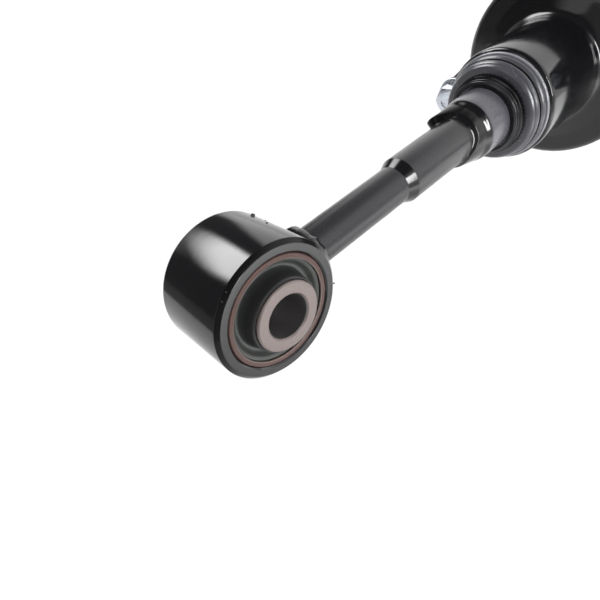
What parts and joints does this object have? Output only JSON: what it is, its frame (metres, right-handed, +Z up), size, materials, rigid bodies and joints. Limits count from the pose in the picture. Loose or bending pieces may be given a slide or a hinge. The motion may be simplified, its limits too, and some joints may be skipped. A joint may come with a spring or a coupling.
{
  "type": "suspension control arm",
  "caption": "Rod-type suspension control arm with a rubber bush eye at one end and an axial rubber bush in a two-ear bolt-on bracket at the other.",
  "frame": {"origin": "centre of the eye bush's bore", "axes": "+X along the rod to the bracket, +Y along the eye's bore, +Z up"},
  "size_m": [0.2524, 0.1238, 0.0828],
  "materials": {
    "black_paint": "gloss black e-coat",
    "rust_steel": "reddish-brown phosphated steel",
    "bare_steel": "warm grey drawn steel",
    "band_steel": "gloss black band with a bright edge",
    "zinc_steel": "pale blue zinc plating",
    "black_rubber": "matt moulded rubber",
    "boot_rubber": "smooth satin rubber"
  },
  "bodies": {
    "bracket": {"bracket_neck": "black_paint", "bracket_base": "black_paint", "bush_can": "rust_steel", "boot_clamp_band": "band_steel", "bracket_bolts": "zinc_steel", "bolt_washers": "rust_steel", "ear_bushings": "zinc_steel", "bush_outer_rubber": "black_rubber"},
    "outer_interleaf": {"bush_outer_interleaf": "bare_steel", "boot_outer_fold": "boot_rubber", "bush_middle_rubber": "black_rubber"},
    "inner_interleaf": {"bush_inner_interleaf": "bare_steel", "boot_support_ring": "black_paint", "boot_inner_fold": "boot_rubber", "bush_inner_rubber": "black_rubber"},
    "arm": {"arm_rod": "black_paint", "eye_housing": "black_paint", "eye_weld_bead": "black_paint", "eye_outer_sleeve": "rust_steel", "eye_rubber": "black_rubber", "seal_lip": "black_rubber", "toothed_lock_ring": "black_paint", "bush_hub_sleeve": "bare_steel", "front_limit_washer": "zinc_steel", "rear_limit_washer": "zinc_steel", "rear_buffer": "black_rubber", "spring_washer": "zinc_steel", "castle_nut": "zinc_steel", "split_pin": "zinc_steel"},
    "eye_core": {"eye_inner_sleeve": "bare_steel"}
  },
  "joints": [
    {"name": "bush_twist", "type": "hinge", "parent": "bracket", "child": "outer_interleaf", "pos_m": [0.166, 0, 0], "axis": [1, 0, 0], "range_deg": [-8, 8], "stiffness_Nm_per_rad": 60, "deforming": ["bush_outer_rubber"]},
    {"name": "bush_pitch", "type": "hinge", "parent": "outer_interleaf", "child": "inner_interleaf", "pos_m": [0.166, 0, 0], "axis": [0, 1, 0], "range_deg": [-5, 5], "stiffness_Nm_per_rad": 160, "deforming": ["bush_middle_rubber", "boot_outer_fold"]},
    {"name": "bush_yaw", "type": "hinge", "parent": "inner_interleaf", "child": "arm", "pos_m": [0.166, 0, 0], "axis": [0, 0, 1], "range_deg": [-3, 3], "stiffness_Nm_per_rad": 160, "deforming": ["bush_inner_rubber", "boot_inner_fold"]},
    {"name": "eye_twist", "type": "hinge", "parent": "arm", "child": "eye_core", "pos_m": [0, 0, 0], "axis": [0, 1, 0], "range_deg": [-20, 20], "stiffness_Nm_per_rad": 40, "deforming": ["eye_rubber"]}
  ]
}
